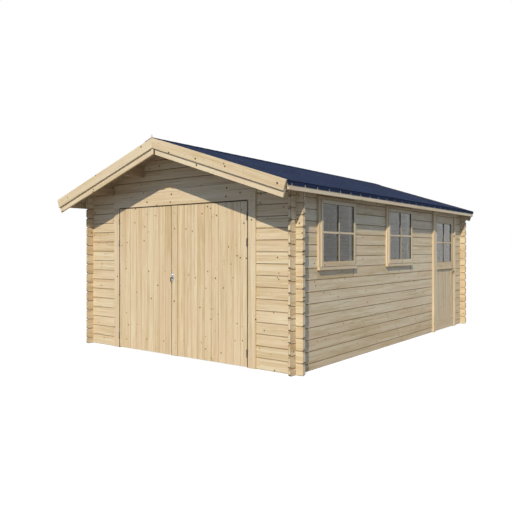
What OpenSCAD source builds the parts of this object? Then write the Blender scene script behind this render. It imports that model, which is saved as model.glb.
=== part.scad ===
// Wooden log garage with double front doors, a glazed side door and two windows.
// Millimetres, Z up. X runs across the front, Y from front to rear.
// The origin is on the ground, at the middle of the outermost width and length.

/* [Body] */
// Width over the outer faces of the side walls
body_w = 3630; // [3100:10:4600]
// Length over the outer faces of the front and rear walls
body_l = 5560; // [5400:10:7200]
// Thickness of a wall log
log_t = 40; // [34:1:58]
// Height of one course of logs
course_h = 135; // [115:1:160]
// Height of the half log that starts each side wall
first_side_log = 82; // [60:1:100]
// Length that each log runs past its corner
log_end = 100; // [60:5:140]
// Depth of the V groove at each log seam
groove_d = 7; // [4:1:10]
// Half the height of that groove
groove_h = 6; // [4:1:10]

/* [Roof] */
// Pitch of both slopes in degrees
pitch = 18.3; // [15:0.1:22]
// Height of the side walls' outer faces, up to the roof boards
wall_h = 2121; // [2090:1:2300]
// Overhang from a side wall's face to the face of its eave board
over_side = 185; // [160:5:260]
// Overhang from the front wall to the front of the verge boards
over_front = 455; // [300:5:600]
// Overhang from the rear wall to the back of the verge boards
over_rear = 150; // [150:5:400]
// Thickness of the roof boards
board_t = 18; // [16:1:24]
// Thickness of the shingle covering
cover_t = 9; // [6:1:12]
// Length of the covering turned down over the eave board
cover_drop = 50; // [30:5:60]
// Thickness of the turned-down covering
drop_t = 5; // [4:1:8]
// Height of the eave board
eave_h = 90; // [70:5:110]
// Thickness of the eave board
eave_t = 20; // [15:1:30]
// Width of the upper verge board
verge_w = 120; // [100:5:150]
// Width of the lower verge board
verge_low_w = 95; // [80:5:120]
// How far the lower verge board is lapped by the upper one
verge_lap = 25; // [15:5:40]
// Thickness of each verge board
verge_t = 22; // [18:1:28]
// Width of a purlin
purlin_w = 45; // [40:1:70]
// Depth of a purlin
purlin_d = 145; // [120:5:150]
// Distance of the upper side purlins from the middle
purlin_x1 = 670; // [600:10:750]
// Distance of the lower side purlins from the middle
purlin_x2 = 1300; // [1200:10:1400]
// Open joint between a pair of verge boards at the ridge
joint_gap = 0.6; // [0.4:0.1:0.8]
// Reach of the ridge cap down each slope
cap_w = 125; // [100:5:160]
// Thickness of the ridge cap
cap_t = 6; // [5:1:8]
// Height of the pointed tip on the front of the ridge cap
tip_h = 36; // [20:2:50]

/* [Garage doors] */
// Clear width between the door jambs
door_w = 2300; // [2100:10:2400]
// Clear height under the door head
door_h = 1949; // [1850:1:1990]
// Line where the two leaves meet, from the middle of the doorway
meet_x = -100; // [-150:10:100]
// Width of the face board on each jamb
jamb_face_w = 120; // [90:5:150]
// Thickness of the face boards
face_t = 18; // [15:1:24]
// Height of the face board over the doors
header_h = 215; // [150:5:220]
// Thickness of the lining that covers the cut logs
lining_t = 30; // [24:1:40]
// Width of the trim on the inner side
inner_trim_w = 60; // [50:5:90]
// Depth of the strip that a leaf closes against
stop_d = 15; // [12:1:25]
// Thickness of the leaf's boards
leaf_board_t = 20; // [18:1:28]
// Thickness of the frame behind the leaf's boards
leaf_frame_t = 25; // [20:1:35]
// Width of the leaf's frame members
leaf_frame_w = 95; // [70:5:120]
// Width of the strip on the meeting edge
strip_w = 108; // [80:2:120]
// Thickness of that strip
strip_t = 16; // [12:1:20]

/* [Side door] */
// Distance from the front wall's face to the middle of the side door
side_y = 4630; // [4300:10:4700]
// Clear width of the side doorway
side_w = 950; // [850:10:970]
// Clear height of the side doorway
side_h = 1950; // [1850:1:1990]
// Width of the side door's casing
side_casing_w = 70; // [60:5:90]
// How far that casing stands out of the wall
side_casing_t = 45; // [30:1:50]
// Height of the casing over the side door
side_head_h = 55; // [45:5:60]
// How far the leaf lies behind the front of its casing
side_recess = 30; // [20:1:35]
// Thickness of the side door's leaf
side_leaf_t = 44; // [38:1:50]
// Width of the leaf's stiles
stile_w = 118; // [90:2:130]
// Height of the leaf's top rail
top_rail_h = 120; // [90:5:140]
// Height of the glazed opening
glazing_h = 660; // [500:10:700]
// Height of the rail under the glazing
mid_rail_h = 130; // [100:5:160]
// Height of the bottom rail
bottom_rail_h = 150; // [120:5:200]
// How deep the lower panel is sunk
panel_sink = 9; // [5:1:12]
// How far the ledge over the panel stands out
ledge_d = 16; // [10:1:20]

/* [Windows] */
// Distance from the front wall's face to the middle of the first window
window_y1 = 895; // [800:5:1000]
// Distance from the front wall's face to the middle of the second window
window_y2 = 2735; // [2600:5:2850]
// Width over the window casing
window_w = 910; // [800:10:960]
// Height of the underside of the casing
window_z = 1134; // [1100:1:1250]
// Height of the top of the casing
window_top = 2000; // [1985:1:2005]
// How far the casing laps the logs round the opening
casing_lap = 20; // [15:1:30]
// How far the casing stands out of the wall
casing_t = 27; // [20:1:35]
// How far the sill stands out of the wall
sill_t = 52; // [40:1:70]
// Height of the sill
sill_h = 42; // [30:1:50]
// Thickness of the lining in the opening
window_lining_t = 20; // [15:1:25]
// Width of the sash's side members
sash_w = 42; // [35:1:55]
// Height of the sash's bottom member
sash_low_h = 62; // [45:1:75]
// How far the sash stands out of the wall
sash_out = 40; // [30:1:45]
// Thickness of the sash
sash_t = 50; // [40:1:55]
// Thickness of the glass
glass_t = 5; // [4:1:8]
// How far the glass lies behind the face of what holds it
glass_in = 12; // [8:1:16]

/* [Fittings] */
// Height of each hinge
hinge_h = 86; // [70:2:120]
// Radius of a hinge knuckle
knuckle_r = 7; // [6:0.5:9]
// Radius of a hinge pin
pin_r = 3; // [2.5:0.5:4]
// Thickness of a hinge plate
plate_t = 2.2; // [2:0.1:2.4]
// Depth of a hinge plate into its gap
plate_d = 32; // [20:1:40]
// Height of the door fittings above the ground
handle_z = 1010; // [900:10:1150]
// Clearance round a leaf
leaf_gap = 5; // [5:0.5:8]
// Clearance at the edge of a leaf that swings past a jamb or the other leaf
meet_gap = 7; // [7:0.5:12]
// Height of a leaf's foot above the ground
foot_gap = 10; // [6:1:20]
// Clearance of a pin in its knuckle
pin_fit = 0.1; // [0.05:0.01:0.15]
// Clearance between a knuckle and the face behind it
knuckle_stand = 1; // [0.5:0.1:2]
// Clearance between neighbouring knuckles
knuckle_gap = 1; // [0.5:0.1:2]
// Clearance between one roof layer and the next
layer_fit = 0.3; // [0.1:0.1:0.5]
// Clearance in a log joint or notch
notch_fit = 0.2; // [0:0.1:0.4]

/* [Hidden] */

slope = tan(pitch);
// vertical drops below the roof's top that match distances square to a slope
cover_drop_v = cover_t / cos(pitch);
board_drop_v = (cover_t + board_t) / cos(pitch);
half_w = body_w / 2;
roof_half_w = half_w + over_side;
ridge_z = wall_h + half_w * slope + board_drop_v;
cover_under_z = ridge_z - cover_drop_v;
board_under_z = ridge_z - board_drop_v;
middle_y = (body_l + over_rear - over_front) / 2;
end_x = half_w + log_end;
rough_door_x = door_w / 2 + lining_t;
rough_door_z = door_h + lining_t;
rough_side_w = side_w + 2 * lining_t;
rough_side_z = side_h + lining_t;
side_y0 = side_y - rough_side_w / 2;
side_y1 = side_y + rough_side_w / 2;
rough_window_w = window_w - 2 * casing_lap;
rough_window_z0 = window_z + casing_lap;
rough_window_z1 = window_top - casing_lap;
leaf_t = leaf_board_t + leaf_frame_t;
leaf_front_y = -face_t;
leaf_back_y = leaf_front_y + leaf_t;
leaf_top = door_h - leaf_gap;
left_leaf_x0 = -door_w / 2 + leaf_gap;
left_leaf_x1 = meet_x - meet_gap / 2;
right_leaf_x0 = meet_x + meet_gap / 2;
right_leaf_x1 = door_w / 2 - leaf_gap;
axis_x = door_w / 2 - leaf_gap / 2;
axis_y = leaf_front_y - knuckle_r - knuckle_stand;
door_hinges_z = [170, 1465, door_h - 180];
side_front_x = half_w + side_casing_t - side_recess;
side_leaf_y0 = side_y - side_w / 2 + leaf_gap;
side_leaf_y1 = side_y + side_w / 2 - meet_gap;
side_leaf_top = side_h - leaf_gap;
glazing_z1 = side_leaf_top - top_rail_h;
glazing_z0 = glazing_z1 - glazing_h;
panel_z1 = glazing_z0 - mid_rail_h;
panel_z0 = foot_gap + bottom_rail_h;
side_axis_x = side_front_x + knuckle_r + knuckle_stand;
side_axis_y = side_y - side_w / 2 + leaf_gap / 2;
side_hinges_z = [210, 1000, side_h - 200];
window_ys = [window_y1, window_y2];
courses = floor(ridge_z / course_h) + 1;
far = 4000;
$fn = 48;

// moves a piece drawn from the front wall's face to the part's origin
module place() {
    translate([0, -middle_y, 0]) children();
}

// everything under a pair of slopes whose ridge is at height z
module below_slopes(z) {
    translate([0, far * 3, 0])
        rotate([90, 0, 0])
            linear_extrude(far * 6)
                polygon([[-far, -10], [far, -10], [far, z - far * slope],
                         [0, z], [-far, z - far * slope]]);
}

// cross-section of stacked logs, grooved at each seam on both faces
module log_section(z0, z1, first) {
    difference() {
        translate([0, z0]) square([log_t, z1 - z0]);
        for (n = [0 : courses]) {
            seam = first + n * course_h;
            if (seam > z0 + groove_h && seam < z1 - groove_h) {
                polygon([[-1, seam - groove_h - 1], [groove_d, seam], [-1, seam + groove_h + 1]]);
                polygon([[log_t + 1, seam - groove_h - 1], [log_t - groove_d, seam],
                         [log_t + 1, seam + groove_h + 1]]);
            }
        }
    }
}

// logs that run across the garage, with their outer face at y
module cross_logs(x0, x1, y, z0, z1) {
    translate([x0, y, 0])
        rotate([90, 0, 90])
            linear_extrude(x1 - x0) log_section(z0, z1, course_h);
}

// logs that run front to rear, with their left face at x
module long_logs(y0, y1, x, z0, z1) {
    translate([x, y1, 0])
        rotate([90, 0, 0])
            linear_extrude(y1 - y0) log_section(z0, z1, first_side_log);
}

// the part of each corner crossing that belongs to the cross logs
module cross_bands(x, y, grow) {
    for (n = [0 : courses])
        translate([x - grow, y - grow, first_side_log / 2 + n * course_h - grow])
            cube([log_t + 2 * grow, log_t + 2 * grow, course_h / 2 + 2 * grow]);
}

// the part of each corner crossing that belongs to the long logs
module long_bands(x, y, grow) {
    translate([x - grow, y - grow, -1])
        cube([log_t + 2 * grow, log_t + 2 * grow, first_side_log / 2 + 1 + grow]);
    for (n = [0 : courses])
        translate([x - grow, y - grow, (first_side_log + course_h) / 2 + n * course_h - grow])
            cube([log_t + 2 * grow, log_t + 2 * grow, course_h / 2 + 2 * grow]);
}

module corners_for_cross() {
    for (x = [-half_w, half_w - log_t])
        for (y = [0, body_l - log_t])
            long_bands(x, y, notch_fit);
}

module corners_for_long() {
    for (x = [-half_w, half_w - log_t])
        for (y = [0, body_l - log_t])
            cross_bands(x, y, notch_fit);
}

module purlin_at(x, grow) {
    low = board_under_z - abs(x) * slope - purlin_d;
    intersection() {
        translate([x - purlin_w / 2 - grow, -over_front + 2 * verge_t, low - grow])
            cube([purlin_w + 2 * grow, body_l + over_front + over_rear - 4 * verge_t, purlin_d * 2]);
        below_slopes(board_under_z + grow);
    }
}

module all_purlins(grow) {
    for (x = [-purlin_x2, -purlin_x1, 0, purlin_x1, purlin_x2])
        purlin_at(x, grow);
}

// a cross wall cut to the roof and notched for side logs and purlins
module cross_wall(x0, x1, y, z0, z1) {
    difference() {
        intersection() {
            cross_logs(x0, x1, y, z0, z1);
            below_slopes(board_under_z);
        }
        corners_for_cross();
        all_purlins(notch_fit);
    }
}

// a long wall cut to the roof and notched for the cross logs
module long_wall(y0, y1, x, z0, z1) {
    difference() {
        intersection() {
            long_logs(y0, y1, x, z0, z1);
            below_slopes(board_under_z);
        }
        corners_for_long();
    }
}

module front_wall_left() {
    color("BurlyWood") place()
        cross_wall(-end_x, -rough_door_x, 0, 0, rough_door_z);
}

module front_wall_right() {
    color("BurlyWood") place()
        cross_wall(rough_door_x, end_x, 0, 0, rough_door_z);
}

module front_gable() {
    color("BurlyWood") place()
        cross_wall(-end_x, end_x, 0, rough_door_z, ridge_z);
}

module rear_wall() {
    color("BurlyWood") place()
        cross_wall(-end_x, end_x, body_l - log_t, 0, ridge_z);
}

module left_wall() {
    color("Tan") place()
        long_wall(-log_end, body_l + log_end, -half_w, 0, ridge_z);
}

module right_wall_lower() {
    color("Tan") place()
        long_wall(-log_end, side_y0, half_w - log_t, 0, rough_window_z0);
}

module right_wall_piers() {
    color("Tan") place() {
        long_wall(-log_end, window_y1 - rough_window_w / 2, half_w - log_t,
                  rough_window_z0, rough_side_z);
        long_wall(window_y1 + rough_window_w / 2, window_y2 - rough_window_w / 2,
                  half_w - log_t, rough_window_z0, rough_side_z);
        long_wall(window_y2 + rough_window_w / 2, side_y0, half_w - log_t,
                  rough_window_z0, rough_side_z);
    }
}

module right_wall_corner() {
    color("Tan") place()
        long_wall(side_y1, body_l + log_end, half_w - log_t, 0, rough_side_z);
}

module right_wall_upper() {
    color("Tan") place()
        long_wall(-log_end, body_l + log_end, half_w - log_t, rough_side_z, ridge_z);
}

// one jamb, drawn for the side at larger x
module door_jamb() {
    x = door_w / 2;
    translate([x, -face_t, 0]) cube([jamb_face_w, face_t, door_h]);
    translate([x, -face_t, 0]) cube([lining_t, face_t + log_t + face_t, door_h]);
    translate([x, log_t, 0]) cube([inner_trim_w, face_t, door_h]);
    translate([x - stop_d, leaf_back_y + leaf_gap, 0]) cube([stop_d + 1, stop_d, door_h - stop_d]);
}

module door_jamb_right() {
    color("Wheat") place() door_jamb();
}

module door_jamb_left() {
    color("Wheat") place() mirror([1, 0, 0]) door_jamb();
}

module door_header() {
    x = door_w / 2;
    color("Wheat") place() {
        translate([-x - jamb_face_w, -face_t, door_h])
            cube([door_w + 2 * jamb_face_w, face_t, header_h]);
        translate([-x - lining_t, -face_t, door_h])
            cube([door_w + 2 * lining_t, face_t + log_t + face_t, lining_t]);
        translate([-x - inner_trim_w, log_t, door_h])
            cube([door_w + 2 * inner_trim_w, face_t, inner_trim_w]);
        translate([-x, leaf_back_y + leaf_gap, door_h - stop_d])
            cube([door_w, stop_d, stop_d + 1]);
    }
}

// one side-door jamb, drawn with its clear edge at y = 0 and its casing towards larger y
module side_jamb() {
    x0 = half_w - log_t;
    translate([half_w, 0, 0]) cube([side_casing_t, side_casing_w, side_h]);
    translate([x0 - face_t, 0, 0]) cube([log_t + side_casing_t + face_t, lining_t, side_h]);
    translate([x0 - face_t, 0, 0]) cube([face_t, inner_trim_w, side_h]);
    translate([side_front_x - side_leaf_t - leaf_gap - stop_d, -stop_d, 0])
        cube([stop_d, stop_d + 1, side_h - stop_d]);
}

module side_jamb_rear() {
    color("Wheat") place() translate([0, side_y + side_w / 2, 0]) side_jamb();
}

module side_jamb_front() {
    color("Wheat") place() difference() {
        translate([0, side_y - side_w / 2, 0]) mirror([0, 1, 0]) side_jamb();
        // the casing is housed out round each knuckle
        for (z = side_hinges_z)
            translate([side_front_x, side_axis_y - knuckle_r - knuckle_stand,
                       z - hinge_h / 2 - knuckle_gap])
                cube([side_casing_t, knuckle_r * 2, hinge_h + 2 * knuckle_gap]);
    }
}

module side_header() {
    x0 = half_w - log_t;
    y = side_y - side_w / 2;
    color("Wheat") place() {
        translate([half_w, y - side_casing_w, side_h])
            cube([side_casing_t, side_w + 2 * side_casing_w, side_head_h]);
        translate([x0 - face_t, y - lining_t, side_h])
            cube([log_t + side_casing_t + face_t, side_w + 2 * lining_t, lining_t]);
        translate([x0 - face_t, y - inner_trim_w, side_h])
            cube([face_t, side_w + 2 * inner_trim_w, inner_trim_w]);
        translate([side_front_x - side_leaf_t - leaf_gap - stop_d, y, side_h - stop_d])
            cube([stop_d, side_w, stop_d + 1]);
    }
}

// a block in a window opening from x0 to x1, inset from the casing's outline
module window_block(x0, x1, inset_y, inset_low, inset_top) {
    translate([x0, -window_w / 2 + inset_y, window_z + inset_low])
        cube([x1 - x0, window_w - 2 * inset_y, window_top - window_z - inset_low - inset_top]);
}

module window_casing() {
    in = casing_lap + window_lining_t;
    difference() {
        union() {
            window_block(half_w, half_w + casing_t, 0, 0, 0);
            window_block(half_w - log_t - face_t, half_w + 1, casing_lap, casing_lap, casing_lap);
            window_block(half_w - log_t - face_t, half_w - log_t, 0, 0, 0);
            translate([half_w, -window_w / 2, window_z]) cube([sill_t, window_w, sill_h - 1]);
        }
        window_block(half_w - far, half_w + far, in, in, in);
        translate([half_w + sill_t, -window_w, window_z + sill_h])
            rotate([0, 75, 0]) translate([-100, 0, 0]) cube([100, 2 * window_w, 30]);
    }
}

module window_casings() {
    color("Wheat") place()
        for (y = window_ys) translate([0, y, 0]) window_casing();
}

module window_sash() {
    in = casing_lap + window_lining_t;
    x0 = half_w + sash_out - sash_t;
    x1 = half_w + sash_out;
    difference() {
        window_block(x0, x1, in, in + 2, in);
        window_block(x0 - 1, x1 + 1, in + sash_w, in + sash_low_h, in + sash_w);
    }
}

module window_sashes() {
    color("Moccasin") place()
        for (y = window_ys) translate([0, y, 0]) window_sash();
}

module window_panes() {
    in = casing_lap + window_lining_t;
    x1 = half_w + sash_out - glass_in;
    color("LightSteelBlue") place()
        for (y = window_ys)
            translate([0, y, 0])
                window_block(x1 - glass_t, x1, in + sash_w, in + sash_low_h, in + sash_w);
}

module ridge_purlin() {
    color("Peru") place() purlin_at(0, 0);
}

module purlins_left() {
    color("Peru") place() for (x = [-purlin_x2, -purlin_x1]) purlin_at(x, 0);
}

module purlins_right() {
    color("Peru") place() for (x = [purlin_x1, purlin_x2]) purlin_at(x, 0);
}

// a layer on the right slope, between two heights at the ridge
module slope_layer(z_low, z_high, x_end, y0, y1) {
    translate([0, y1, 0])
        rotate([90, 0, 0])
            linear_extrude(y1 - y0)
                polygon([[0, z_low], [x_end, z_low - x_end * slope],
                         [x_end, z_high - x_end * slope], [0, z_high]]);
}

module roof_boards() {
    slope_layer(board_under_z, cover_under_z - layer_fit, roof_half_w - eave_t,
                -over_front + verge_t, body_l + over_rear - verge_t);
}

module roof_boards_right() {
    color("BurlyWood") place() roof_boards();
}

module roof_boards_left() {
    color("BurlyWood") place() mirror([1, 0, 0]) roof_boards();
}

module roof_cover() {
    y0 = -over_front + verge_t;
    y1 = body_l + over_rear - verge_t;
    edge_z = cover_under_z - roof_half_w * slope;
    slope_layer(cover_under_z, ridge_z, roof_half_w + drop_t, y0, y1);
    translate([roof_half_w, y0, edge_z - cover_drop + cover_t])
        cube([drop_t, y1 - y0, cover_drop]);
}

module roof_cover_right() {
    color("MidnightBlue") place() roof_cover();
}

module roof_cover_left() {
    color("MidnightBlue") place() mirror([1, 0, 0]) roof_cover();
}

module ridge_cap() {
    y0 = -over_front;
    y1 = body_l + over_rear;
    low = ridge_z + layer_fit;
    top = low + cap_t;
    mid = low + cap_t / 2;
    tip_half = 16;
    color("MidnightBlue") place() {
        translate([0, y1, 0])
            rotate([90, 0, 0])
                linear_extrude(y1 - y0)
                    polygon([[0, low], [cap_w, low - cap_w * slope],
                             [cap_w, top - cap_w * slope], [0, top],
                             [-cap_w, top - cap_w * slope], [-cap_w, low - cap_w * slope]]);
        translate([0, y0 + cap_t, 0])
            rotate([90, 0, 0])
                linear_extrude(cap_t)
                polygon([[-tip_half, mid - tip_half * slope], [0, mid],
                         [tip_half, mid - tip_half * slope], [0, top + tip_h]]);
    }
}

// one verge board on the right slope; from and to are measured square to the slope
module verge_board(from, to, y) {
    ax = roof_half_w - from * sin(pitch);
    az = ridge_z - roof_half_w * slope - from * cos(pitch);
    bx = roof_half_w - to * sin(pitch);
    bz = ridge_z - roof_half_w * slope - to * cos(pitch);
    translate([0, y + verge_t, 0])
        rotate([90, 0, 0])
            linear_extrude(verge_t)
                polygon([[joint_gap / 2, ridge_z - joint_gap * slope / 2 - from / cos(pitch)],
                         [ax, az], [bx, bz],
                         [joint_gap / 2, ridge_z - joint_gap * slope / 2 - to / cos(pitch)]]);
}

module verge_pair(from, to, y) {
    verge_board(from, to, y);
    mirror([1, 0, 0]) verge_board(from, to, y);
}

module verge_front_upper() {
    color("Wheat") place() verge_pair(0, verge_w, -over_front);
}

module verge_front_lower() {
    from = verge_w - verge_lap;
    color("Wheat") place() verge_pair(from, from + verge_low_w, -over_front + verge_t);
}

module verge_rear_upper() {
    color("Wheat") place() verge_pair(0, verge_w, body_l + over_rear - verge_t);
}

module verge_rear_lower() {
    from = verge_w - verge_lap;
    color("Wheat") place() verge_pair(from, from + verge_low_w, body_l + over_rear - 2 * verge_t);
}

// the short strip that covers the joint of the lower verge boards
module verge_joint_strip() {
    top = ridge_z - verge_w / cos(pitch);
    low = ridge_z - (verge_w - verge_lap + verge_low_w) / cos(pitch);
    w = 34;
    color("Moccasin") place()
        translate([-w / 2, -over_front + verge_t / 2, low - 4])
            cube([w, verge_t / 2, top - low - w * slope / 2]);
}

module eave_board() {
    top = cover_under_z - roof_half_w * slope;
    translate([roof_half_w - eave_t, -over_front + 2 * verge_t, top - eave_h])
        cube([eave_t, body_l + over_front + over_rear - 4 * verge_t, eave_h]);
}

module eave_boards() {
    color("Wheat") place() {
        eave_board();
        mirror([1, 0, 0]) eave_board();
    }
}

// hinge about the origin: the fixed half has its plate at larger x
third = (hinge_h - 2 * knuckle_gap) / 3;

module hinge_fixed() {
    for (z = [-hinge_h / 2, hinge_h / 2 - third])
        translate([0, 0, z]) cylinder(h = third, r = knuckle_r);
    translate([0, 0, -hinge_h / 2]) cylinder(h = hinge_h, r = pin_r);
    for (z = [-hinge_h / 2, hinge_h / 2 - third])
        translate([leaf_gap / 2 - plate_t, 0, z]) cube([plate_t, plate_d, third]);
    translate([leaf_gap / 2 - plate_t, knuckle_r + 1, -hinge_h / 2])
        cube([plate_t, plate_d - knuckle_r - 1, hinge_h]);
}

module hinge_moving() {
    difference() {
        union() {
            translate([0, 0, -third / 2]) cylinder(h = third, r = knuckle_r);
            translate([-leaf_gap / 2, 0, -third / 2]) cube([plate_t, plate_d, third]);
            translate([-leaf_gap / 2, knuckle_r + 1, -hinge_h / 2])
                cube([plate_t, plate_d - knuckle_r - 1, hinge_h]);
        }
        translate([0, 0, -hinge_h]) cylinder(h = 2 * hinge_h, r = pin_r + pin_fit);
    }
}

module right_jamb_hinges() {
    color("DimGray") place()
        for (z = door_hinges_z) translate([axis_x, axis_y, z]) hinge_fixed();
}

module left_jamb_hinges() {
    color("DimGray") place() mirror([1, 0, 0])
        for (z = door_hinges_z) translate([axis_x, axis_y, z]) hinge_fixed();
}

module right_leaf_hinges() {
    color("DimGray") place()
        for (z = door_hinges_z) translate([axis_x, axis_y, z]) hinge_moving();
}

module left_leaf_hinges() {
    color("DimGray") place() mirror([1, 0, 0])
        for (z = door_hinges_z) translate([axis_x, axis_y, z]) hinge_moving();
}

// the side door's hinges have their plates across x, so they are turned a quarter
module side_hinge_frame() {
    translate([side_axis_x, side_axis_y, 0]) mirror([1, 1, 0]) children();
}

module side_jamb_hinges() {
    color("DimGray") place()
        side_hinge_frame() for (z = side_hinges_z) translate([0, 0, z]) hinge_fixed();
}

module side_leaf_hinges() {
    color("DimGray") place()
        side_hinge_frame() for (z = side_hinges_z) translate([0, 0, z]) hinge_moving();
}

// boards with a frame of stiles and rails behind them
module leaf(x0, x1) {
    w = x1 - x0;
    h = leaf_top - foot_gap;
    y = leaf_front_y + leaf_board_t;
    translate([x0, leaf_front_y, foot_gap]) cube([w, leaf_board_t, h]);
    for (x = [x0, x1 - leaf_frame_w])
        translate([x, y, foot_gap]) cube([leaf_frame_w, leaf_frame_t, h]);
    for (z = [foot_gap, foot_gap + (h - leaf_frame_w) / 2, leaf_top - leaf_frame_w])
        translate([x0, y, z]) cube([w, leaf_frame_t, leaf_frame_w]);
}

module left_leaf() {
    color("NavajoWhite") place() leaf(left_leaf_x0, left_leaf_x1);
}

module right_leaf() {
    color("NavajoWhite") place() leaf(right_leaf_x0, right_leaf_x1);
}

module meeting_strip() {
    color("Wheat") place()
        translate([right_leaf_x0, leaf_front_y - strip_t, foot_gap])
            cube([strip_w, strip_t, leaf_top - foot_gap]);
}

// a small lock plate with a drop handle, on the meeting edge of the right leaf
module door_handle() {
    x = right_leaf_x0 + strip_w / 4;
    y = leaf_front_y - strip_t;
    color("DimGray") place() {
        translate([x - 19, y - 4, handle_z - 40]) cube([38, 4, 100]);
        translate([x, y, handle_z + 38]) rotate([90, 0, 0]) cylinder(h = 20, r = 13);
        translate([x, y, handle_z + 2]) rotate([90, 0, 0]) cylinder(h = 34, r = 8);
        translate([x - 9, y - 42, handle_z - 52]) cube([18, 12, 66]);
    }
}

module side_leaf() {
    w = side_leaf_y1 - side_leaf_y0;
    x0 = side_front_x - side_leaf_t;
    color("NavajoWhite") place() {
        difference() {
            translate([x0, side_leaf_y0, foot_gap])
                cube([side_leaf_t, w, side_leaf_top - foot_gap]);
            translate([x0 - 1, side_leaf_y0 + stile_w, glazing_z0])
                cube([side_leaf_t + 2, w - 2 * stile_w, glazing_h]);
            for (x = [side_front_x - panel_sink, x0 - 1])
                translate([x, side_leaf_y0 + stile_w, panel_z0])
                    cube([panel_sink + 1, w - 2 * stile_w, panel_z1 - panel_z0]);
        }
        translate([side_front_x - 1, side_leaf_y0 + stile_w - 20, panel_z1 + 2])
            cube([ledge_d + 1, w - 2 * stile_w + 40, 24]);
    }
}

module side_leaf_pane() {
    color("LightSteelBlue") place()
        translate([side_front_x - glass_in - glass_t, side_leaf_y0 + stile_w, glazing_z0])
            cube([glass_t, side_leaf_y1 - side_leaf_y0 - 2 * stile_w, glazing_h]);
}

module side_handle() {
    y = side_leaf_y1 - stile_w / 2;
    color("DimGray") place() {
        translate([side_front_x, y - 19, handle_z - 85]) cube([4, 38, 170]);
        translate([side_front_x, y, handle_z + 30])
            rotate([0, 90, 0]) cylinder(h = 42, r = 8);
        translate([side_front_x + 36, y - 102, handle_z + 21]) cube([14, 110, 18]);
        translate([side_front_x, y, handle_z - 42])
            rotate([0, 90, 0]) cylinder(h = 12, r = 11);
    }
}

front_wall_left();
front_wall_right();
front_gable();
left_wall();
rear_wall();
right_wall_lower();
right_wall_piers();
right_wall_corner();
right_wall_upper();
door_jamb_left();
door_jamb_right();
door_header();
side_jamb_front();
side_jamb_rear();
side_header();
window_casings();
window_sashes();
window_panes();
ridge_purlin();
purlins_left();
purlins_right();
roof_boards_left();
roof_boards_right();
roof_cover_left();
roof_cover_right();
ridge_cap();
verge_front_upper();
verge_front_lower();
verge_rear_upper();
verge_rear_lower();
verge_joint_strip();
eave_boards();
left_jamb_hinges();
right_jamb_hinges();
side_jamb_hinges();
left_leaf();
left_leaf_hinges();
right_leaf();
right_leaf_hinges();
meeting_strip();
door_handle();
side_leaf();
side_leaf_pane();
side_leaf_hinges();
side_handle();
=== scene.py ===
import math
import random

import bmesh
import bpy
from mathutils import Matrix, Vector


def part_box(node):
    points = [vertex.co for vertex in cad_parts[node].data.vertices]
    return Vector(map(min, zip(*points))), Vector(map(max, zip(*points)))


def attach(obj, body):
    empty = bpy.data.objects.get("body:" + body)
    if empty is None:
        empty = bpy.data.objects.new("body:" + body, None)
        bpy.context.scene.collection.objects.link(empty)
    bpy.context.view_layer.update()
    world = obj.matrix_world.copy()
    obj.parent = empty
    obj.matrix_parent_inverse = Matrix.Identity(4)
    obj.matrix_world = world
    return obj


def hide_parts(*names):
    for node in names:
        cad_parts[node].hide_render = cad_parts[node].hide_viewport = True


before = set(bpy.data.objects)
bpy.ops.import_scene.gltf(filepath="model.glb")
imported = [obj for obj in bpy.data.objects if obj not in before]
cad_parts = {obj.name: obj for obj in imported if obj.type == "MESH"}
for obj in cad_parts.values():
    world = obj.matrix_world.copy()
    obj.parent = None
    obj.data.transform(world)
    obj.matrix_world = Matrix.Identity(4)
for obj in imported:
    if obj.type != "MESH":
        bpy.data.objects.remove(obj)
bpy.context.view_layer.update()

# -------- sizes, in metres
# Sizes that the frame's boxes don't give by themselves
PITCH = math.radians(18.3)
SLOPE = math.tan(PITCH)
EDGE = 0.002  # chamfer of a planed board, unless another is given
ROUNDED = 0.003  # chamfer of door and window trim
SHARP = 0.001  # chamfer of seals and of what fits close

COURSE = 0.135  # height of a course of logs
FIRST_SIDE_LOG = 0.082  # half log that starts each side wall
THIN_LOG = 0.04  # a last course thinner than this joins the one below
THIN_SLICE = 0.005  # a slice over or under an opening thinner than this is left out
PAST_ROOF = 0.01  # how far the last course runs up before the roof's planes cut it
BELOW_GROUND = -1.0  # where a doorway's opening starts
SEAM = (0.007, 0.006)  # depth and half height of the V groove at a log seam
END_NOTCH = 0.023  # corner taken off the top and bottom of each log's end

FACE_T = 0.018  # face boards and inner trims
LINING_T = 0.03
INNER_TRIM_W = 0.06
STOP_D = 0.015
STOP_GAP = 0.005  # from a leaf's back to its stop
DOOR_SEAL_SHADE = 0.009  # dark seal strip along the front doorway's edges, painted shade for the gap by the leaves
SEAL_SUNK = 0.001  # how far those seals lie behind the face boards
BOARD_W = 0.1156  # front door boards
BOARD_GAP = 0.0004  # half the gap between them
LEAF_BOARD_T = 0.02
LEAF_GROOVE = (0.0035, 0.004, 0.0015)  # chamfers of a door board along X, Y and Z
LEAF_FRAME_W = 0.095
STRIP_SEAL_SHADE = 0.007  # dark seal strip along the meeting strip, painted shade for the gap beside it
SCREW_R = 0.0042
SCREW_DEPTH = 0.002
SCREW_PROUD = 0.0002  # height of a screw head over the board

CASING_W = 0.07  # side door casing
SIDE_CASING_T = 0.032
SIDE_HINGES = (0.21, 1.0, 1.75)  # heights of the side door's hinges
HINGE_HALF = 0.044  # half the height of a hinge, with its clearance
KNUCKLE_ROOM = 0.0065  # housing in the casing's edge for the side door's knuckles
LEDGE_D = 0.016  # how far the ledge moulding stands out of the side door
LEDGE_H = 0.024
LOW_RAIL = 0.15
LOCK_RAIL = 0.13  # rail between the panel and the pane
PANEL_SINK = 0.009
BEAD = 0.008

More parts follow.
